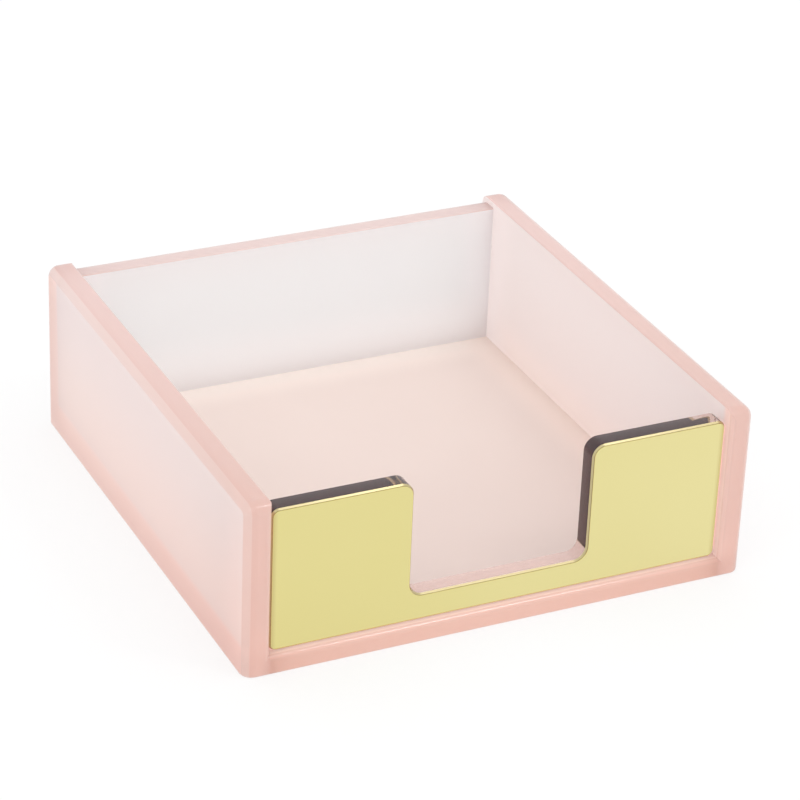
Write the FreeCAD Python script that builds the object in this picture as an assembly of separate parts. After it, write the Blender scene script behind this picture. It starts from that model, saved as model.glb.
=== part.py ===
import FreeCAD, Part
import math
import os
from FreeCAD import Vector

# Open square memo tray of frosted pink acrylic sheet, with a gold-faced front plate that has a finger notch.
# All lengths are in millimetres. X runs across the tray, Y from its front to its back, and Z up.
# The origin is the middle of the footprint, in the plane that the tray stands on.

# Tray
tray_width = 100.0
tray_depth = 102.0
side_height = 34.6
sheet_thickness = 5.0
floor_thickness = 3.7
back_panel_drop = 1.4

# Edges of the pink sheets
outer_edge_round = 2.3
inner_edge_round = 0.4
opening_edge_round = 1.2
foot_edge_round = 0.4

# Front plate with its finger notch
plate_recess = 1.5
plate_core_thickness = 3.6
mirror_thickness = 0.2
plate_side_gap = 0.3
plate_drop = 2.4
notch_width = 35.2
notch_sill_height = 5.3
plate_corner_round = 1.5
notch_corner_round = 2.5
plate_bevel = 0.3

# How far a cutter runs past what it cuts
overrun = 2.0

# How near to each other two places count as one
touching = 0.001

# Places that several pieces share
side_x = tray_width / 2
inner_x = side_x - sheet_thickness
front_y = -tray_depth / 2
back_y = tray_depth / 2
floor_top = floor_thickness
back_panel_front_y = back_y - sheet_thickness
back_panel_top = side_height - back_panel_drop
mirror_front_y = front_y + plate_recess
core_front_y = mirror_front_y + mirror_thickness

UP = Vector(0, 0, 1)
DOWN = Vector(0, 0, -1)
BACKWARD = Vector(0, 1, 0)
FORWARD = Vector(0, -1, 0)
LEFT = Vector(-1, 0, 0)


def block(low, high):
    """A box between its lowest and its highest corner."""
    size = high - low
    return Part.makeBox(size.x, size.y, size.z, low)


def waste_outline(corner, into_one, into_other, radius):
    """Outline of what rounding takes off a square corner, with the overrun outside of it.

    The two directions lie in the faces that meet at the corner and point away from it.
    """
    one = corner + into_one * radius
    other = corner + into_other * radius
    centre = one + into_other * radius
    toward_corner = (into_one + into_other) * -math.cos(math.pi / 4)
    crown = centre + toward_corner * radius
    out_one = into_one * -overrun
    out_other = into_other * -overrun
    return Part.Wire([
        Part.Arc(one, crown, other).toShape(),
        Part.LineSegment(other, other + out_one).toShape(),
        Part.LineSegment(other + out_one, corner + out_one + out_other).toShape(),
        Part.LineSegment(corner + out_one + out_other, one + out_other).toShape(),
        Part.LineSegment(one + out_other, one).toShape(),
    ])


def edge_waste(start, end, into_one, into_other, radius):
    """What rounding takes off a straight square edge between start and end."""
    outline = waste_outline(start, into_one, into_other, radius)
    return Part.Face(outline).extrude(end - start)


def opening_waste():
    """What rounding takes off along the front opening: down one side, across the floor and up the other."""
    past_top = side_height + overrun
    path = Part.makePolygon([
        Vector(-inner_x, front_y, past_top),
        Vector(-inner_x, front_y, floor_top),
        Vector(inner_x, front_y, floor_top),
        Vector(inner_x, front_y, past_top),
    ])
    outline = waste_outline(Vector(-inner_x, front_y, past_top), LEFT, BACKWARD, opening_edge_round)
    with_mitred_corners = 1
    return path.makePipeShell([outline], True, False, with_mitred_corners)


def edge_between(body, start, end):
    """The straight edge of the body that runs between two of its corners."""
    middle = (start + end) / 2
    return min(body.Edges, key=lambda edge: edge.CenterOfMass.distanceToPoint(middle))


def side_panel(side):
    """Full-depth side sheet. side is -1 on the left and 1 on the right."""
    outer_x = side * side_x
    wall_x = side * inner_x
    low = Vector(min(outer_x, wall_x), front_y, 0)
    high = Vector(max(outer_x, wall_x), back_y, side_height)
    body = block(low, high)

    # The outer edges but those at the foot, blended where they meet at the two outer top corners
    top_front = Vector(outer_x, front_y, side_height)
    top_back = Vector(outer_x, back_y, side_height)
    outer_edges = [edge_between(body, top_front, top_back)]
    for top_corner in (top_front, top_back):
        foot_corner = Vector(outer_x, top_corner.y, 0)
        wall_corner = Vector(wall_x, top_corner.y, side_height)
        outer_edges.append(edge_between(body, top_corner, foot_corner))
        outer_edges.append(edge_between(body, top_corner, wall_corner))
    body = body.makeFillet(outer_edge_round, outer_edges)

    # The foot, except along the wall, where the floor panel is cemented on
    foot_edges = []
    for edge in body.Edges:
        at_foot = edge.BoundBox.ZMax < touching
        along_wall = abs(edge.CenterOfMass.x - wall_x) < touching
        if at_foot and not along_wall:
            foot_edges.append(edge)
    body = body.makeFillet(foot_edge_round, foot_edges)

    # The long top edge along the wall
    start = Vector(wall_x, front_y - overrun, side_height)
    end = Vector(wall_x, back_y + overrun, side_height)
    body = body.cut(edge_waste(start, end, Vector(side, 0, 0), DOWN, inner_edge_round))
    return body.cut(opening_waste())


def floor_panel():
    """Bottom sheet between the side panels. Its front edge is flush with theirs."""
    body = block(Vector(-inner_x, front_y, 0), Vector(inner_x, back_y, floor_top))
    for y, into in ((front_y, BACKWARD), (back_y, FORWARD)):
        start = Vector(-inner_x - overrun, y, 0)
        end = Vector(inner_x + overrun, y, 0)
        body = body.cut(edge_waste(start, end, into, UP, foot_edge_round))
    return body.cut(opening_waste())


def back_panel():
    """Rear sheet between the side panels. It stands on the floor panel, a little lower than the sides."""
    low = Vector(-inner_x, back_panel_front_y, floor_top)
    high = Vector(inner_x, back_y, back_panel_top)
    body = block(low, high)
    inner_edge = (back_panel_front_y, BACKWARD, inner_edge_round)
    outer_edge = (back_y, FORWARD, outer_edge_round)
    for y, into, radius in (inner_edge, outer_edge):
        start = Vector(-inner_x - overrun, y, back_panel_top)
        end = Vector(inner_x + overrun, y, back_panel_top)
        body = body.cut(edge_waste(start, end, into, DOWN, radius))
    return body


def rounded_outline(corners, y):
    """Closed outline in an upright plane across the tray. Each corner is (x, z, radius)."""
    points = [Vector(x, y, z) for x, z, radius in corners]
    radii = [radius for x, z, radius in corners]
    arcs = []
    for index, point in enumerate(points):
        radius = radii[index]
        came = (point - points[index - 1]).normalize()
        goes = (points[(index + 1) % len(points)] - point).normalize()
        turn = came.getAngle(goes)
        reach = radius * math.tan(turn / 2)
        start = point - came * reach
        end = point + goes * reach
        to_centre = (goes - came).normalize()
        crown = point + to_centre * (radius / math.cos(turn / 2) - radius)
        arcs.append((start, crown, end))
    edges = []
    for index, (start, crown, end) in enumerate(arcs):
        last_end = arcs[index - 1][2]
        edges.append(Part.LineSegment(last_end, start).toShape())
        edges.append(Part.Arc(start, crown, end).toShape())
    return Part.Wire(edges)


def plate_outline(inset, y):
    """The front plate's outline with its notch, drawn in on every side by inset."""
    half = inner_x - plate_side_gap - inset
    foot = floor_top + inset
    top = side_height - plate_drop - inset
    notch = notch_width / 2 + inset
    sill = floor_top + notch_sill_height - inset
    outer = plate_corner_round - inset
    lip = notch_corner_round - inset
    root = notch_corner_round + inset
    corners = [
        (-half, foot, outer),
        (half, foot, outer),
        (half, top, outer),
        (notch, top, lip),
        (notch, sill, root),
        (-notch, sill, root),
        (-notch, top, lip),
        (-half, top, outer),
    ]
    return rounded_outline(corners, y)


def front_plate():
    """Clear plate with the notch. It stands on the floor panel, and its front edges are bevelled."""
    slab_front_y = core_front_y + plate_bevel
    slab_depth = plate_core_thickness - plate_bevel
    slab = Part.Face(plate_outline(0, slab_front_y)).extrude(BACKWARD * slab_depth)
    bevel_front = plate_outline(plate_bevel, core_front_y)
    bevel_back = plate_outline(0, slab_front_y)
    bevel = Part.makeLoft([bevel_front, bevel_back], True, True)
    return slab.fuse(bevel).removeSplitter()


def gold_mirror_face():
    """Thin mirror layer over the front of the clear plate, inside its bevel."""
    face = Part.Face(plate_outline(plate_bevel, mirror_front_y))
    return face.extrude(BACKWARD * mirror_thickness)


pieces = {
    "floor_panel": floor_panel(),
    "left_side_panel": side_panel(-1),
    "right_side_panel": side_panel(1),
    "back_panel": back_panel(),
    "front_plate": front_plate(),
    "gold_mirror_face": gold_mirror_face(),
}

os.makedirs("parts", exist_ok=True)
for name, shape in pieces.items():
    shape.exportStep(f"parts/{name}.step")
    print(name, "solids", len(shape.Solids), "valid", shape.isValid(), "volume", round(shape.Volume, 1))
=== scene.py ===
# %% [markdown]
# # A frosted pink memo tray with a gold mirror front
#
# The tray is glued together from sheets of frosted pink acrylic: two sides, a back, and a thinner floor
# between them. Across its front stands a clear plate with a notch for the finger, and a thin gold
# mirror covers the front of that plate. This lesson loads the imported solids, gives every sheet its
# finish, and builds the clear plate again with polished edges that bend the light.

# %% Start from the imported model
import math
from collections import namedtuple
import bmesh
import bpy
from mathutils import Matrix, Vector


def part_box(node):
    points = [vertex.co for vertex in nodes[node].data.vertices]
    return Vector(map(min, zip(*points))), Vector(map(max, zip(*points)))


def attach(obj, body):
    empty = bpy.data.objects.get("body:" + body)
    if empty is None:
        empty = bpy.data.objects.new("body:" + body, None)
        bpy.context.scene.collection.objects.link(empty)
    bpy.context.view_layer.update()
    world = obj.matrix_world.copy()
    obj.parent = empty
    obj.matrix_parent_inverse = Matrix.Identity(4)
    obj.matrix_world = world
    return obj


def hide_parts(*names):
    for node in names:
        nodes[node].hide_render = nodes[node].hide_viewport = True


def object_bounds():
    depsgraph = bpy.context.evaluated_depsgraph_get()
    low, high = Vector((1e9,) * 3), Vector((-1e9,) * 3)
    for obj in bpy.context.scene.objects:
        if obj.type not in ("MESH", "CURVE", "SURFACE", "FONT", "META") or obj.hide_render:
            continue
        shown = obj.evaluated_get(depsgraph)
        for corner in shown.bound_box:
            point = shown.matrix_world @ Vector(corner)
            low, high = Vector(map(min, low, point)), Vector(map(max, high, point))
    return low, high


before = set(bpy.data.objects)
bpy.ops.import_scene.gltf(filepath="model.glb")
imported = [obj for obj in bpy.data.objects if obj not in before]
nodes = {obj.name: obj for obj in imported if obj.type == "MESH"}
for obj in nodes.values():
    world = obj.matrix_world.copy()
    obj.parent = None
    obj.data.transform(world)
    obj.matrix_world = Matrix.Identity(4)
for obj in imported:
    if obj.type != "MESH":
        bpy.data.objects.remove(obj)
cad_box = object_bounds()
print("pieces:", sorted(nodes))

# %% [markdown]
# ## Lengths and colours
#
# Blender counts in metres and shades in linear light. Small helpers let the rest of the lesson speak in
# millimetres and in the eight-bit colours that a colour picker shows, which is how a maker would note
# down a sheet's tint.

# %% Helpers for lengths and colours
MM = 0.001
FULL_BYTE = 255


def linear(share):
    """A share of full brightness on a screen as linear light, by the sRGB curve."""
    return share / 12.92 if share <= 0.04045 else ((share + 0.055) / 1.055) ** 2.4


def tint(red, green, blue):
    """A colour picker's red, green and blue, from 0 to 255, as a linear shader colour."""
    return (*(linear(value / FULL_BYTE) for value in (red, green, blue)), 1.0)


def in_mm(box):
    """The lowest and the highest corner of a box, in millimetres."""
    return [Vector(corner) / MM for corner in box]


tray_low, tray_high = in_mm(cad_box)
print("tray in mm:", [round(v, 2) for v in tray_high - tray_low])

# %% [markdown]
# ## The camera
#
# The picture looks down on the tray's front left corner through a long lens. The angles come from
# fitting a camera to the tray's straight edges. A long lens keeps the sides nearly parallel, as in a
# catalogue picture, and the slight roll belongs to the picture too.

# %% Place the camera
AZIMUTH, ELEVATION, ROLL = math.radians(-26.12), math.radians(28.13), math.radians(2.41)
DISTANCE, SLIDE_RIGHT, SLIDE_UP = 607.7, 2.78, 2.17
AIM_HEIGHT = 17.85
FOCAL_LENGTH, SENSOR_WIDTH = 143.75, 36.0

back = Vector((
    math.sin(AZIMUTH) * math.cos(ELEVATION),
    -math.cos(AZIMUTH) * math.cos(ELEVATION),
    math.sin(ELEVATION),
))
level_right = Vector((0, 0, 1)).cross(back).normalized()
level_up = back.cross(level_right)
right = level_right * math.cos(ROLL) + level_up * math.sin(ROLL)
up = level_up * math.cos(ROLL) - level_right * math.sin(ROLL)
aim = Vector((0, 0, AIM_HEIGHT))
eye = (aim + back * DISTANCE + right * SLIDE_RIGHT + up * SLIDE_UP) * MM

lens = bpy.data.cameras.new("catalogue_lens")
lens.lens, lens.sensor_width, lens.sensor_fit = FOCAL_LENGTH, SENSOR_WIDTH, "HORIZONTAL"
camera = bpy.data.objects.new("catalogue_camera", lens)
bpy.context.scene.collection.objects.link(camera)
camera.matrix_world = Matrix.Translation(eye) @ Matrix((right, up, back)).transposed().to_4x4()
bpy.context.scene.camera = camera
print("camera at", [round(v, 4) for v in eye])

# %% [markdown]
# ## Node helpers
#
# Every finish below is a small tree of shader nodes. Adding a node and setting its sockets takes one
# line with this helper. A value that is a socket of another node becomes a link, and anything else is
# written into the socket. The helpers after it cover the few kinds of node that every finish here is
# made from.

# %% Helpers for nodes
FIRST_COLOUR, SECOND_COLOUR, MIXED_COLOUR = 6, 7, 2


def put(tree, kind, sockets=None, **settings):
    """Adds a node. sockets maps an input's name or number to a value or to another node's output."""
    node = tree.nodes.new(kind)
    for name, value in settings.items():
        setattr(node, name, value)
    for name, value in (sockets or {}).items():
        if isinstance(value, bpy.types.NodeSocket):
            tree.links.new(value, node.inputs[name])
        else:
            node.inputs[name].default_value = value
    return node


def maths(tree, operation, *values, clamp=False):
    """A sum on one to three values."""
    sockets = dict(enumerate(values))
    return put(tree, "ShaderNodeMath", sockets, operation=operation, use_clamp=clamp).outputs[0]


def along(tree, vector, direction):
    """How far a vector reaches along a direction."""
    sockets = {0: vector, 1: direction}
    return put(tree, "ShaderNodeVectorMath", sockets, operation="DOT_PRODUCT").outputs["Value"]


def remap(tree, value, given_range, wanted_range=(0.0, 1.0), curve="SMOOTHSTEP"):
    """A value carried from one range over to another and held at its ends."""
    sockets = {"Value": value, "From Min": given_range[0], "From Max": given_range[1]}
    sockets |= {"To Min": wanted_range[0], "To Max": wanted_range[1]}
    return put(tree, "ShaderNodeMapRange", sockets, interpolation_type=curve).outputs[0]


def blend(tree, share, first, second):
    """A colour between two colours."""
    sockets = {"Factor": share, FIRST_COLOUR: first, SECOND_COLOUR: second}
    return put(tree, "ShaderNodeMix", sockets, data_type="RGBA", clamp_factor=True).outputs[MIXED_COLOUR]


print("helpers for nodes are ready")

# %% Helpers for groups and materials
MASK = ("Float", None)


def new_group(name, inputs, outputs):
    """A shader node group. inputs and outputs map socket names to (kind, default)."""
    group = bpy.data.node_groups.new(name, "ShaderNodeTree")
    for direction, sockets in (("INPUT", inputs), ("OUTPUT", outputs)):
        for socket_name, (kind, default) in sockets.items():
            kind = f"NodeSocket{kind}"
            socket = group.interface.new_socket(socket_name, in_out=direction, socket_type=kind)
            if default is not None:
                socket.default_value = default
    given = group.nodes.new("NodeGroupInput").outputs
    result = group.nodes.new("NodeGroupOutput").inputs
    return group, given, result


def put_out(group, result, values):
    """Links what a group puts out."""
    for name, value in values.items():
        group.links.new(value, result[name])
    print("group", group.name, "puts out", list(values))


def place(tree, group, sockets):
    """Places a group in a material, with the material's own values."""
    return put(tree, "ShaderNodeGroup", sockets, node_tree=group).outputs


def new_material(name):
    """A material with an empty node tree."""
    material = bpy.data.materials.new(name)
    material.use_nodes = True
    tree = material.node_tree
    tree.nodes.clear()
    return material, tree


def show(tree, shader):
    """Makes a shader the surface of its material."""
    put(tree, "ShaderNodeOutputMaterial", {"Surface": shader.outputs[0]})


print("helpers for groups and materials are ready")

# %% [markdown]
# ## Where light gathers in a sheet
#
# A frosted sheet looks almost white on its broad faces, because light crosses only a few millimetres of
# it. Its sawn and flame-polished edges look deep pink, because there the light has come a long way
# along the sheet. The rounded corner between the two lies in between. The group tells these zones apart
# by the angle between the surface and the direction in which the sheet faces out of the tray, so the
# same group serves a side, the back and the floor. Two more masks tell the outer face from the inner
# one, and what looks to the front.

# %% Group: zones of a sheet
DOWN, TO_BACK, TO_FRONT, TO_LEFT, TO_RIGHT = (0, 0, -1), (0, 1, 0), (0, -1, 0), (-1, 0, 0), (1, 0, 0)
FACE_TO_ROUNDING, ROUNDING_TO_CUT = (0.98, 0.94), (0.56, 0.46)

sheet_zones, given, result = new_group(
    "sheet_zones",
    {"Outward": ("Vector", TO_RIGHT)},
    {"Cut edge": MASK, "Rounding": MASK, "Outside": MASK, "Front": MASK},
)
normal = put(sheet_zones, "ShaderNodeTexCoord").outputs["Normal"]
facing = along(sheet_zones, normal, given["Outward"])
flatness = maths(sheet_zones, "ABSOLUTE", facing)
cut = remap(sheet_zones, flatness, ROUNDING_TO_CUT)
off_face = remap(sheet_zones, flatness, FACE_TO_ROUNDING)
put_out(sheet_zones, result, {
    "Cut edge": cut,
    "Rounding": maths(sheet_zones, "SUBTRACT", off_face, cut, clamp=True),
    "Outside": maths(sheet_zones, "GREATER_THAN", facing, 0.0),
    "Front": maths(sheet_zones, "MAXIMUM", along(sheet_zones, normal, TO_FRONT), 0.0),
})

# %% [markdown]
# ## Where a neighbour shows through
#
# A joint glued with clear solvent cement has no air in it, so the neighbour's coloured edge shows
# through the frosting as a soft band. The tint also grows deeper from the open back towards the front,
# which is painted shade of the front.
# Both are ramps along a direction, so one group makes them all: it measures how far a point lies along
# a direction and turns that into a share.

# %% Group: a soft ramp along a direction
ramp_along, given, result = new_group(
    "ramp_along",
    {"Direction": ("Vector", (0.0, 0.0, 1.0)), "None at": ("Float", 0.0), "Full at": ("Float", 1.0)},
    {"Share": MASK},
)
point = put(ramp_along, "ShaderNodeTexCoord").outputs["Object"]
reach = maths(ramp_along, "MULTIPLY", along(ramp_along, point, given["Direction"]), 1 / MM)
put_out(ramp_along, result, {"Share": remap(ramp_along, reach, (given["None at"], given["Full at"]))})


def ramp(tree, direction, none_at, full_at):
    """A share that grows along a direction between two distances from the origin, in millimetres."""
    sockets = {"Direction": direction, "None at": none_at, "Full at": full_at}
    return place(tree, ramp_along, sockets)["Share"]


# %% [markdown]
# ## The frosting
#
# The frosted skin is a satin grain about a tenth of a millimetre wide, too fine to see from afar but
# enough to break up reflections. Over it lie faint clouds where the casting took up a little more
# pigment. Noise in the object's own coordinates gives both, and stays put when the tray is moved.

# %% Group: satin grain and pigment clouds
GRAINS_IN_A_METRE = 6500.0
CLOUD_DETAIL, GRAIN_DETAIL = 3.0, 2.0
HALF = 0.5

satin_grain, given, result = new_group(
    "satin_grain",
    {"Cloud size": ("Float", 22.0), "Cloud depth": ("Float", 0.05)},
    {"Cloud": MASK, "Height": MASK},
)
point = put(satin_grain, "ShaderNodeTexCoord").outputs["Object"]
clouds_in_a_metre = maths(satin_grain, "DIVIDE", 1 / MM, given["Cloud size"])
sockets = {"Vector": point, "Scale": clouds_in_a_metre, "Detail": CLOUD_DETAIL}
clouds = put(satin_grain, "ShaderNodeTexNoise", sockets).outputs[0]
clouds = maths(satin_grain, "SUBTRACT", clouds, HALF)
sockets = {"Vector": point, "Scale": GRAINS_IN_A_METRE, "Detail": GRAIN_DETAIL}
put_out(satin_grain, result, {
    "Cloud": maths(satin_grain, "MULTIPLY", clouds, given["Cloud depth"]),
    "Height": put(satin_grain, "ShaderNodeTexNoise", sockets).outputs[0],
})


def clouded(tree, size, depth, first, second):
    """Two near colours in soft clouds. size is in millimetres."""
    cloud = place(tree, satin_grain, {"Cloud size": size, "Cloud depth": depth})["Cloud"]
    return blend(tree, maths(tree, "ADD", cloud, HALF, clamp=True), first, second)


# %% [markdown]
# ## The faces of a pink sheet
#
# All four sheets share one recipe with their own values. This first part mixes the colour of the two
# broad faces. Each has a colour at the back and one at the front, and over it come the soft bands at
# the joints. In the real tray light runs along inside the sheets and leaves them where they meet.
# Closed solids that touch can't hand that light on to each other, so each band also glows, which paints
# that light in.

# %% Colour of the broad faces
floor_top_corner = in_mm(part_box("floor_panel"))[1]
back_foot_corner = in_mm(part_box("back_panel"))[0]
REACHES = {
    DOWN: -floor_top_corner.z,
    TO_BACK: back_foot_corner.y,
    TO_FRONT: -tray_low.y,
    TO_LEFT: floor_top_corner.x,
    TO_RIGHT: floor_top_corner.x,
}

# A band grows from starts to full, both in millimetres short of the neighbour or, in front, of the end
Band = namedtuple("Band", "direction starts full outside inside glow colours")


def face_colour(tree, zones, depth, outer, inner, bands):
    """Colour of the broad faces and the painted light of their bands. Pairs are (at the back, at the
    front).
    """
    colour = blend(tree, zones["Outside"], blend(tree, depth, *inner), blend(tree, depth, *outer))
    glow = 0.0
    for band in bands:
        reach = REACHES[band.direction]
        share = ramp(tree, band.direction, reach - band.starts, reach - band.full)
        strength = maths(tree, "MULTIPLY_ADD", zones["Outside"], band.outside - band.inside, band.inside)
        share = maths(tree, "MULTIPLY", share, strength)
        colour = blend(tree, share, colour, blend(tree, depth, *band.colours))
        glow = maths(tree, "MAXIMUM", glow, maths(tree, "MULTIPLY", share, band.glow))
    return colour, glow


print("reach in mm:", {direction: round(reach, 2) for direction, reach in REACHES.items()})

# %% [markdown]
# ## The edges of a pink sheet
#
# The cut edges are the deepest pink of the tray, and deepest of all where they look to the front. Their
# foot is painted lighter, a painted light that stands for the white table shining into it. The outer
# rounding takes a paler pink, as it lets out light from both the face and the edge.

# %% Colour of the cut and the rounded edges
CutEdges = namedtuple("CutEdges", "back front front_end front_foot")
ROUNDING = (tint(240, 214, 208), tint(233, 194, 182))
PAINTED_FOOT_LIGHT_STARTS, PAINTED_FOOT_LIGHT_FULL = 14.0, 1.0


def edge_colours(tree, zones, depth, edges):
    """Colour of the cut edges and of the rounding beside them."""
    # Painted light: the front end turns lighter towards its foot, standing for the table that shines into
    # it.
    foot = ramp(tree, DOWN, -PAINTED_FOOT_LIGHT_STARTS, -PAINTED_FOOT_LIGHT_FULL)
    front_end = blend(tree, foot, edges.front_end, edges.front_foot)
    cut_edge = blend(tree, zones["Front"], blend(tree, depth, edges.back, edges.front), front_end)
    rounding = blend(tree, zones["Outside"], cut_edge, blend(tree, depth, *ROUNDING))
    return cut_edge, rounding


print("foot of the front end, in mm:", PAINTED_FOOT_LIGHT_STARTS, "to", PAINTED_FOOT_LIGHT_FULL)

# %% [markdown]
# ## The pink acrylic
#
# The skin is satin on the faces and glossy on the polished edges, so a mask from the zones lowers the
# roughness there and adds a clear coat. The coat's high refractive index stands for the bright lines
# that a polished rounding shows. The sheet is also partly sheer: a Translucent shader lets light fall
# through from behind, in a share that each sheet sets for itself.

# %% Recipe for a pink sheet
ACRYLIC_IOR = 1.49
FACE_ROUGHNESS, EDGE_ROUGHNESS = 0.5, 0.14
POLISH_WEIGHT, POLISH_ROUGHNESS, POLISH_IOR = 0.9, 0.04, 1.8
SATIN_STRENGTH, SATIN_HEIGHT = 0.12, 0.02 * MM
PIGMENT_CLOUDS = {"Cloud size": 24.0, "Cloud depth": 0.35}
FRONT_SHADE_OVER = tray_high.y + 11.0
PAINTED_JOINT_LIGHT = 0.2
BLACK = tint(0, 0, 0)


def pink_sheet(name, outward, sheer, outer, inner, bands, edges):
    """Finish of one sheet. sheer is (share of the light let through, its colour)."""
    material, tree = new_material(name)
    grain = place(tree, satin_grain, PIGMENT_CLOUDS)
    # Painted shade: the colours deepen from the open back towards the front, with pigment clouds over it.
    front_shade = ramp(tree, TO_FRONT, -FRONT_SHADE_OVER, FRONT_SHADE_OVER)
    depth = maths(tree, "ADD", front_shade, grain["Cloud"], clamp=True)
    zones = place(tree, sheet_zones, {"Outward": outward})
    colour, glow = face_colour(tree, zones, depth, outer, inner, bands)
    cut_edge, rounding = edge_colours(tree, zones, depth, edges)
    colour = blend(tree, zones["Rounding"], colour, rounding)
    colour = blend(tree, zones["Cut edge"], colour, cut_edge)
    glow = maths(tree, "MULTIPLY", glow, maths(tree, "SUBTRACT", 1.0, zones["Cut edge"]))
    polished = maths(tree, "MAXIMUM", zones["Cut edge"], zones["Rounding"])
    smoother = EDGE_ROUGHNESS - FACE_ROUGHNESS
    sockets = {"Strength": SATIN_STRENGTH, "Distance": SATIN_HEIGHT, "Height": grain["Height"]}
    skin = put(tree, "ShaderNodeBump", sockets)
    surface = put(tree, "ShaderNodeBsdfPrincipled", {
        "Base Color": colour,
        "Roughness": maths(tree, "MULTIPLY_ADD", polished, smoother, FACE_ROUGHNESS),
        "Normal": skin.outputs[0],
        "IOR": ACRYLIC_IOR,
        "Coat Weight": maths(tree, "MULTIPLY", polished, POLISH_WEIGHT),
        "Coat Roughness": POLISH_ROUGHNESS,
        "Coat IOR": POLISH_IOR,
        # The emission paints light into the joint bands.
        "Emission Color": blend(tree, glow, BLACK, colour),
        "Emission Strength": PAINTED_JOINT_LIGHT,
    })
    through_share, through_colour = sheer
    through = put(tree, "ShaderNodeBsdfTranslucent", {"Color": through_colour})
    sockets = {0: through_share, 1: surface.outputs[0], 2: through.outputs[0]}
    show(tree, put(tree, "ShaderNodeMixShader", sockets))
    return material


def wear(node, material):
    """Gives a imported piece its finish."""
    for slot in nodes[node].material_slots:
        slot.material = material
    print(node, "->", material.name)


# %% [markdown]
# ## The two sides
#
# From outside, the floor's edge shows as a band along the foot of a side, and the back sheet's edge as
# an upright band at its rear, and both bands also give off painted light. The lower part of a side is
# warmer and a little lighter, partly the floor's pink and partly painted light that lifts the shade near
# the table. From inside, the side grows warmer towards the floor and paler in the rear corner, and the
# lip that faces the gold plate is a deeper pink. These inner bands give off painted light, which lifts
# the shade of the corners and of the recess behind the gold plate.

# %% Finish of the two sides
EVEN_LIP = (tint(248, 204, 190), tint(248, 204, 190))
SIDE_SHEER = (0.5, tint(253, 247, 245))
SIDE_OUTER = (tint(240, 231, 232), tint(242, 230, 228))
SIDE_INNER = (tint(248, 243, 243), tint(250, 244, 244))
SIDE_LOW_WARMTH_AND_LIGHT = (tint(250, 234, 229), tint(250, 226, 219))
SIDE_CORNER_PAINTED_LIGHT = (tint(252, 246, 246), tint(252, 246, 246))
SIDE_FOOT = (tint(250, 236, 230), tint(250, 230, 222))
SEAM = (tint(254, 222, 213), tint(246, 202, 191))
SIDE_EDGES = CutEdges(tint(230, 185, 178), tint(222, 168, 152), tint(224, 167, 149), tint(245, 184, 165))
# Each band's emission is painted light, and the low and corner colours are partly painted light.
SIDE_BANDS = [
    Band(DOWN, 29.3, 5.3, outside=1.0, inside=0.3, glow=0.0, colours=SIDE_LOW_WARMTH_AND_LIGHT),
    Band(DOWN, 3.5, 1.3, outside=1.0, inside=0.0, glow=0.6, colours=SEAM),
    Band(TO_BACK, 2.4, 0.2, outside=1.0, inside=0.0, glow=0.6, colours=SEAM),
    Band(DOWN, 10.3, 0.0, outside=0.0, inside=1.0, glow=0.5, colours=SIDE_FOOT),
    Band(TO_BACK, 12.0, 0.0, outside=0.0, inside=1.0, glow=0.5, colours=SIDE_CORNER_PAINTED_LIGHT),
    Band(TO_FRONT, 3.5, 2.0, outside=0.0, inside=1.0, glow=0.5, colours=EVEN_LIP),
]
for side, outward in (("left", TO_LEFT), ("right", TO_RIGHT)):
    finish = pink_sheet(
        f"frosted_pink_{side}", outward, SIDE_SHEER, SIDE_OUTER, SIDE_INNER, SIDE_BANDS, SIDE_EDGES
    )
    wear(f"{side}_side_panel", finish)

# %% [markdown]
# ## The back and the floor
#
# The back sheet is the palest, since white light falls straight through it. Along its sides and its foot
# it is paler still and gives off light, which is painted light that lifts the shade of the corners. The
# floor takes up the pink of all its neighbours, and its margins are paler and give off light too, which
# is painted light that lifts the shade where the floor meets the walls. A pair of equal colours makes a
# zone that looks the same from back to front.

# %% Finish of the back
BACK_SHEER = (0.6, tint(254, 253, 253))
BACK_OUTER = (tint(243, 234, 232), tint(243, 234, 232))
BACK_INNER = (tint(244, 247, 248), tint(244, 247, 248))
BACK_LOW_PAINTED_LIGHT = (tint(252, 246, 245), tint(252, 246, 245))
BACK_MARGIN_PAINTED_LIGHT = (tint(252, 250, 252), tint(252, 250, 252))
BACK_EDGES = CutEdges(tint(229, 176, 166), tint(229, 176, 166), tint(228, 172, 154), tint(228, 172, 154))
# Paler margins that give off light: painted light that lifts the shade of the corners.
BACK_BANDS = [
    Band(TO_RIGHT, 9.0, 0.0, outside=1.0, inside=1.0, glow=0.8, colours=BACK_MARGIN_PAINTED_LIGHT),
    Band(TO_LEFT, 9.0, 0.0, outside=1.0, inside=1.0, glow=0.8, colours=BACK_MARGIN_PAINTED_LIGHT),
    Band(DOWN, 14.3, 0.0, outside=1.0, inside=1.0, glow=0.8, colours=BACK_LOW_PAINTED_LIGHT),
]
back_finish = pink_sheet(
    "frosted_pink_back", TO_BACK, BACK_SHEER, BACK_OUTER, BACK_INNER, BACK_BANDS, BACK_EDGES
)
wear("back_panel", back_finish)

# %% Finish of the floor
FLOOR_SHEER = (0.55, tint(253, 249, 247))
FLOOR = (tint(247, 231, 224), tint(232, 211, 203))
REAR_MARGIN_PAINTED_LIGHT = (tint(255, 244, 236), tint(255, 244, 236))
SIDE_MARGIN_PINK_AND_LIGHT = (tint(252, 234, 224), tint(252, 226, 214))
FLOOR_EDGES = CutEdges(tint(236, 195, 187), tint(229, 179, 163), tint(222, 156, 133), tint(236, 168, 144))
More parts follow.
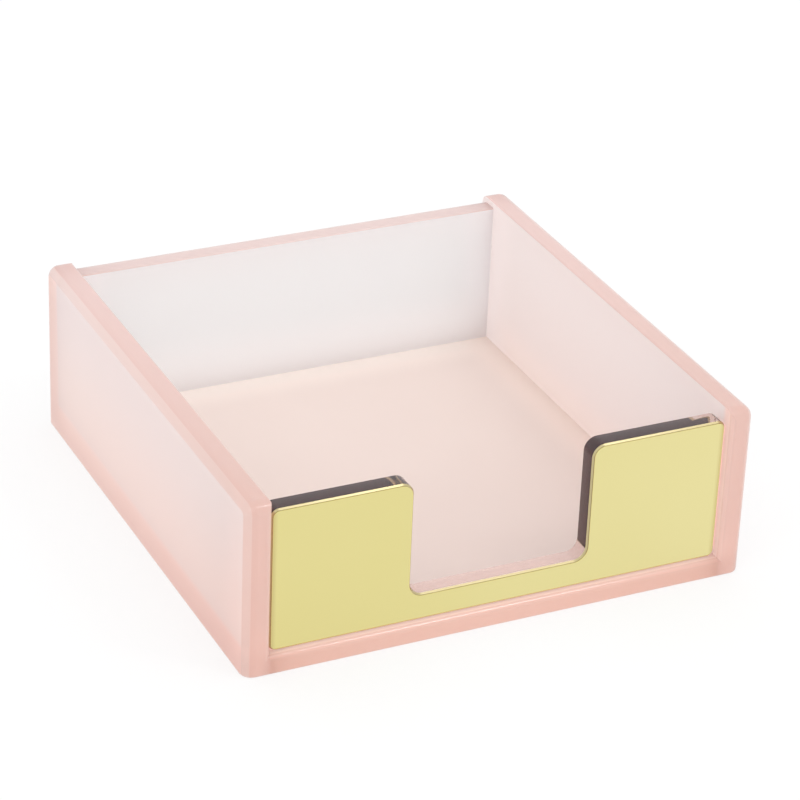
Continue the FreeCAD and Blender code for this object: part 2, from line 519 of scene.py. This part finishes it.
# Paler margins that give off light: painted light that lifts the shade at the walls.
FLOOR_BANDS = [
    Band(TO_BACK, 10.0, 0.0, outside=1.0, inside=1.0, glow=0.5, colours=REAR_MARGIN_PAINTED_LIGHT),
    Band(TO_RIGHT, 9.0, 0.0, outside=1.0, inside=1.0, glow=0.7, colours=SIDE_MARGIN_PINK_AND_LIGHT),
    Band(TO_LEFT, 9.0, 0.0, outside=1.0, inside=1.0, glow=0.7, colours=SIDE_MARGIN_PINK_AND_LIGHT),
    Band(TO_FRONT, 3.5, 2.0, outside=1.0, inside=1.0, glow=0.8, colours=EVEN_LIP),
]
floor_finish = pink_sheet("frosted_pink_floor", DOWN, FLOOR_SHEER, FLOOR, FLOOR, FLOOR_BANDS, FLOOR_EDGES)
wear("floor_panel", floor_finish)

# %% [markdown]
# ## The gold mirror
#
# The gold front is a mirror film under a yellow lacquer. A metal shader with a low roughness is all a
# mirror needs, but a perfect one looks computed. Very faint wipe marks in the roughness keep it alive.
# Its colour grows paler towards the lower right, which is a painted reflection, and soft clouds of tone
# lie over it. The film is darker near its two ends, which is a painted reflection as well, its cut
# sides are duller, and its rear is bare grey metal, which a coat on the clear plate's front hides.

# %% Colour of the gold mirror
GOLD_CLOUDS = {"Cloud size": 30.0, "Cloud depth": 0.6}
PAINTED_REFLECTION_DIRECTION, DRIFT_STARTS, DRIFT_FULL = (1, 0, -0.6), -75.0, 45.0
GOLD_LEFT, GOLD_RIGHT = tint(225, 214, 146), tint(231, 221, 160)
GOLD_END_PAINTED_REFLECTION, GOLD_CUT, BARE_METAL = tint(206, 188, 128), tint(196, 180, 112), tint(196, 190, 192)
END_STARTS, END_FULL = 1.1, -0.3
LOOKS_BACK = 0.5

film_low, film_high = in_mm(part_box("gold_mirror_face"))
gold_finish, tree = new_material("gold_mirror_film")
zones = place(tree, sheet_zones, {"Outward": TO_BACK})
cloud = place(tree, satin_grain, GOLD_CLOUDS)["Cloud"]
# Painted reflection: paler towards the lower right, with clouds of tone over it.
reflection_and_clouds = maths(tree, "ADD", ramp(tree, PAINTED_REFLECTION_DIRECTION, DRIFT_STARTS, DRIFT_FULL), cloud, clamp=True)
gold = blend(tree, reflection_and_clouds, GOLD_LEFT, GOLD_RIGHT)
# Painted reflection: darker near the two ends.
for direction in (TO_LEFT, TO_RIGHT):
    near_end_reflection = ramp(tree, direction, film_high.x - END_STARTS, film_high.x - END_FULL)
    gold = blend(tree, near_end_reflection, gold, GOLD_END_PAINTED_REFLECTION)
gold = blend(tree, zones["Cut edge"], gold, GOLD_CUT)
normal = put(tree, "ShaderNodeTexCoord").outputs["Normal"]
rear = maths(tree, "GREATER_THAN", along(tree, normal, TO_BACK), LOOKS_BACK)
gold = blend(tree, rear, gold, BARE_METAL)
print("gold film from", round(film_low.x, 2), "to", round(film_high.x, 2), "mm")

# %% Finish of the gold mirror
WIPES_IN_A_METRE, WIPE_DETAIL = (60.0, 60.0, 400.0), 4.0
WIPE_SHARES, GOLD_ROUGHNESS = (0.4, 0.75), (0.03, 0.09)


def streaks(tree, in_a_metre, detail):
    """Noise drawn out into streaks. in_a_metre says how many fit in a metre along x, y and z."""
    point = put(tree, "ShaderNodeTexCoord").outputs["Object"]
    drawn_out = put(tree, "ShaderNodeMapping", {"Vector": point, "Scale": in_a_metre}).outputs[0]
    sockets = {"Vector": drawn_out, "Scale": 1.0, "Detail": detail}
    return put(tree, "ShaderNodeTexNoise", sockets).outputs[0]


wiped = streaks(tree, WIPES_IN_A_METRE, WIPE_DETAIL)
show(tree, put(tree, "ShaderNodeBsdfPrincipled", {
    "Base Color": gold,
    "Metallic": 1.0,
    "Roughness": remap(tree, wiped, WIPE_SHARES, GOLD_ROUGHNESS, curve="LINEAR"),
}))
wear("gold_mirror_face", gold_finish)

# %% [markdown]
# ## The clear plate
#
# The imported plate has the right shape, but clear acrylic lives by what its polished edges do with
# light. Seen from above, its top edge shows a dark band: light that enters there is thrown back by the
# rear face onto the dark rear of the mirror film. So the plate is built again in the same place, as a
# closed body with a finer outline, and each group of faces gets what really lies behind it. Rings of
# points from front to rear make its bevel, its polished edge and its softened rear rim.

# %% Outline of the clear plate
plate_low, plate_high = in_mm(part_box("front_plate"))
NOTCH_HALF, SILL = 17.6, 9.0
OUTER_ROUND, NOTCH_ROUND, BEVEL, RIM = 1.5, 2.5, 0.3, 0.12
CEMENT = 0.02
ARC_STEPS, RIM_STEPS = 12, 3
QUARTER_TURN = math.pi / 2


def outline(inset):
    """The plate's outline as (x, z) points, drawn in by inset on every side."""
    half, foot, top = plate_high.x - inset, plate_low.z + CEMENT + inset, plate_high.z - inset
    notch, sill = NOTCH_HALF + inset, SILL - inset
    outer, lip, root = OUTER_ROUND - inset, NOTCH_ROUND - inset, NOTCH_ROUND + inset
    corners = [
        (-half, foot, outer),
        (half, foot, outer),
        (half, top, outer),
        (notch, top, lip),
        (notch, sill, root),
        (-notch, sill, root),
        (-notch, top, lip),
        (-half, top, outer),
    ]
    points = []
    for index, (x, z, radius) in enumerate(corners):
        here = Vector((x, z))
        before = Vector(corners[index - 1][:2])
        after = Vector(corners[(index + 1) % len(corners)][:2])
        came, goes = (here - before).normalized(), (after - here).normalized()
        centre = here - came * radius + goes * radius
        for step in range(ARC_STEPS + 1):
            angle = QUARTER_TURN * step / ARC_STEPS
            points.append(centre - goes * radius * math.cos(angle) + came * radius * math.sin(angle))
    return points


# Each ring is drawn in by its first value and stands at the depth that its second value gives
rings = [(BEVEL, plate_low.y + CEMENT), (0.0, plate_low.y + BEVEL)]
for step in range(RIM_STEPS + 1):
    angle = QUARTER_TURN * step / RIM_STEPS
    rings.append((RIM - RIM * math.cos(angle), plate_high.y - RIM + RIM * math.sin(angle)))
print("rings:", len(rings), "points in a ring:", len(outline(0.0)))

# %% Body of the clear plate
CLEAR, FILM_BACK, CEMENTED, GILT = range(4)
BEVEL_STRIP, EDGE_STRIP = 0, 1
FOOT_REACH, END_REACH = 0.5, 0.05
SHARP_FROM = math.radians(32)


def strip_finish(strip, centre):
    """Which finish a face between two rings wears. centre is the face's middle in millimetres."""
    if strip == BEVEL_STRIP:
        return GILT
    at_foot = centre.z < plate_low.z + FOOT_REACH
    at_end = abs(centre.x) > plate_high.x - END_REACH
    return CEMENTED if strip == EDGE_STRIP and (at_foot or at_end) else CLEAR


body = bmesh.new()
loops = []
for inset, y in rings:
    loops.append([body.verts.new((point.x * MM, y * MM, point.y * MM)) for point in outline(inset)])
count = len(loops[0])
for strip, (front_loop, rear_loop) in enumerate(zip(loops, loops[1:])):
    for i in range(count):
        j = (i + 1) % count
        face = body.faces.new((front_loop[i], rear_loop[i], rear_loop[j], front_loop[j]))
        face.smooth = True
        face.material_index = strip_finish(strip, face.calc_center_median() / MM)
front_cap = body.faces.new(loops[0])
front_cap.material_index = FILM_BACK
rear_cap = body.faces.new(list(reversed(loops[-1])))
rear_cap.material_index = CLEAR
bmesh.ops.recalc_face_normals(body, faces=body.faces)
bmesh.ops.triangulate(body, faces=[front_cap, rear_cap])

# %% The clear plate takes its place
mesh = bpy.data.meshes.new("clear_plate")
body.to_mesh(mesh)
body.free()
mesh.set_sharp_from_angle(angle=SHARP_FROM)
plate = bpy.data.objects.new("clear_plate", mesh)
bpy.context.scene.collection.objects.link(plate)
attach(plate, "root")
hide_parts("front_plate")
print("clear plate:", len(mesh.polygons), "faces")

# %% [markdown]
# ## What lies behind each face of the plate
#
# The polished faces are plain clear acrylic: full transmission, the refractive index of acrylic, and
# faint polishing marks. The front carries the coat on the mirror film's rear, a dark red-brown. It is
# matt and has no shine of its own, because no air lies between the coat and the plate. The foot and the
# two ends meet the pink sheets, so pink shows there, and it glows with painted light like the joints of
# the sheets. The bevel catches the light and looks like a thin gilt line.

# %% Finish of the polished faces
CLEAR_TINT = tint(252, 251, 251)
MARKS_IN_A_METRE, MARK_DETAIL = (200.0, 3000.0, 200.0), 2.0
MARK_SHARES, CLEAR_ROUGHNESS = (0.45, 0.8), (0.0, 0.06)

clear, tree = new_material("polished_clear_acrylic")
marks = streaks(tree, MARKS_IN_A_METRE, MARK_DETAIL)
show(tree, put(tree, "ShaderNodeBsdfPrincipled", {
    "Base Color": CLEAR_TINT,
    "Roughness": remap(tree, marks, MARK_SHARES, CLEAR_ROUGHNESS, curve="LINEAR"),
    "IOR": ACRYLIC_IOR,
    "Transmission Weight": 1.0,
}))
print("finish:", clear.name)

# %% Finishes of the front, the joints and the bevel
COAT_ROUGHNESS, JOINT_ROUGHNESS, BEVEL_ROUGHNESS = 0.6, 0.5, 0.28
PLATE_PAINTED_JOINT_LIGHT = 0.54

film_back, tree = new_material("mirror_film_rear")
show(tree, put(tree, "ShaderNodeBsdfPrincipled", {
    "Base Color": clouded(tree, 20.0, 0.6, tint(86, 52, 55), tint(98, 61, 62)),
    "Roughness": COAT_ROUGHNESS,
    "Specular IOR Level": 0.0,
}))

cemented, tree = new_material("cemented_joint")
pink = clouded(tree, 6.0, 0.8, tint(240, 206, 195), tint(244, 214, 205))
show(tree, put(tree, "ShaderNodeBsdfPrincipled", {
    "Base Color": pink,
    "Roughness": JOINT_ROUGHNESS,
    "IOR": ACRYLIC_IOR,
    # The emission paints light into the joint.
    "Emission Color": pink,
    "Emission Strength": PLATE_PAINTED_JOINT_LIGHT,
}))

gilt, tree = new_material("gilt_bevel")
show(tree, put(tree, "ShaderNodeBsdfPrincipled", {
    "Base Color": clouded(tree, 5.0, 0.8, tint(190, 176, 132), tint(202, 188, 146)),
    "Metallic": 1.0,
    "Roughness": BEVEL_ROUGHNESS,
}))

for material in (clear, film_back, cemented, gilt):
    mesh.materials.append(material)
print("plate finishes:", [material.name for material in mesh.materials])

# %% [markdown]
# ## Floor and background
#
# The tray stands on a white sweep that is partly lit from within, as a light table is, so that the
# tray's foot isn't dark. The rest of it is a plain lit surface, which keeps a soft shadow under the
# tray. The picture's background is pure white, so a ray from the camera, a reflection or glass sees a
# little more of the plain white, and the gold mirror and the clear plate find it around them. From
# below the sweep can't be seen, so the tray's underside can be looked at.

# %% Sheet of the white sweep
SWEEP_HALF, SWEEP_DROP = 4.0, 0.05 * MM

sweep_mesh = bpy.data.meshes.new("white_sweep")
corners = [(x * SWEEP_HALF, y * SWEEP_HALF, -SWEEP_DROP) for x, y in ((-1, -1), (1, -1), (1, 1), (-1, 1))]
sweep_mesh.from_pydata(corners, [], [(0, 1, 2, 3)])
sweep = bpy.data.objects.new("white_sweep", sweep_mesh)
bpy.context.scene.collection.objects.link(sweep)
print("sweep", round(2 * SWEEP_HALF, 1), "m square")

# %% Finish of the white sweep
WHITE = (1.0, 1.0, 1.0, 1.0)
PAPER_DARK, PAPER_PALE = tint(240, 240, 240), tint(246, 246, 246)
PAPER_ROUGHNESS, PAPER_SHINE = 0.9, 0.1
LIT_FROM_WITHIN, MORE_IN_VIEW = 0.6, 0.12


def seen_directly(tree):
    """1 for a ray that shows the background: from the camera, by a reflection or through glass."""
    path = put(tree, "ShaderNodeLightPath").outputs
    seen = maths(tree, "MAXIMUM", path["Is Camera Ray"], path["Is Glossy Ray"])
    return maths(tree, "MAXIMUM", seen, path["Is Transmission Ray"])


white_paper, tree = new_material("white_paper")
lit = put(tree, "ShaderNodeBsdfPrincipled", {
    "Base Color": clouded(tree, 90.0, 0.02, PAPER_DARK, PAPER_PALE),
    "Roughness": PAPER_ROUGHNESS,
    "Specular IOR Level": PAPER_SHINE,
})
light = put(tree, "ShaderNodeEmission", {"Color": WHITE, "Strength": 1.0})
share = maths(tree, "MULTIPLY_ADD", seen_directly(tree), MORE_IN_VIEW, LIT_FROM_WITHIN)
paper = put(tree, "ShaderNodeMixShader", {0: share, 1: lit.outputs[0], 2: light.outputs[0]})
underneath = put(tree, "ShaderNodeNewGeometry").outputs["Backfacing"]
nothing = put(tree, "ShaderNodeBsdfTransparent")
sockets = {0: underneath, 1: paper.outputs[0], 2: nothing.outputs[0]}
show(tree, put(tree, "ShaderNodeMixShader", sockets))
sweep_mesh.materials.append(white_paper)
print("finish:", white_paper.name)

# %% [markdown]
# ## Light
#
# A light tent gives the picture its even, almost shadowless look. The world does the same here: an even
# white from every side, which lights the tray a touch more brightly than it shows itself. Three soft
# lamps add shape. A large one stands at the upper left, a weak one at the right, and a small one at the
# front right puts the highlights on the polished edges.

# %% Light tent
TENT, BACKDROP = 1.08, 1.0

world = bpy.data.worlds.new("light_tent")
bpy.context.scene.world = world
world.use_nodes = True
tree = world.node_tree
tree.nodes.clear()
tent = put(tree, "ShaderNodeBackground", {"Color": WHITE, "Strength": TENT})
backdrop = put(tree, "ShaderNodeBackground", {"Color": WHITE, "Strength": BACKDROP})
sockets = {0: seen_directly(tree), 1: tent.outputs[0], 2: backdrop.outputs[0]}
mixed = put(tree, "ShaderNodeMixShader", sockets)
put(tree, "ShaderNodeOutputWorld", {"Surface": mixed.outputs[0]})
print("light tent:", TENT)

# %% Soft lamps
LAMPS_AIM_AT = Vector((0, 0, 0.02))


def softbox(name, stands_at, size, power):
    """A square soft lamp that points at the tray, in metres and watts."""
    data = bpy.data.lights.new(name, "AREA")
    data.shape, data.size, data.energy = "SQUARE", size, power
    lamp = bpy.data.objects.new(name, data)
    lamp.location = stands_at
    lamp.rotation_euler = (LAMPS_AIM_AT - Vector(stands_at)).to_track_quat("-Z", "Y").to_euler()
    bpy.context.scene.collection.objects.link(lamp)
    print(name, power, "W")


softbox("upper_left_softbox", stands_at=(-0.9, -0.7, 1.3), size=0.9, power=2.4)
softbox("right_softbox", stands_at=(1.1, -0.3, 1.0), size=0.7, power=0.3)
softbox("front_softbox", stands_at=(0.45, -0.55, 0.95), size=0.2, power=1.0)

# %% [markdown]
#
# The Standard view transform shows a colour as it is written.

# %% View transform
bpy.context.scene.view_settings.view_transform = "Standard"
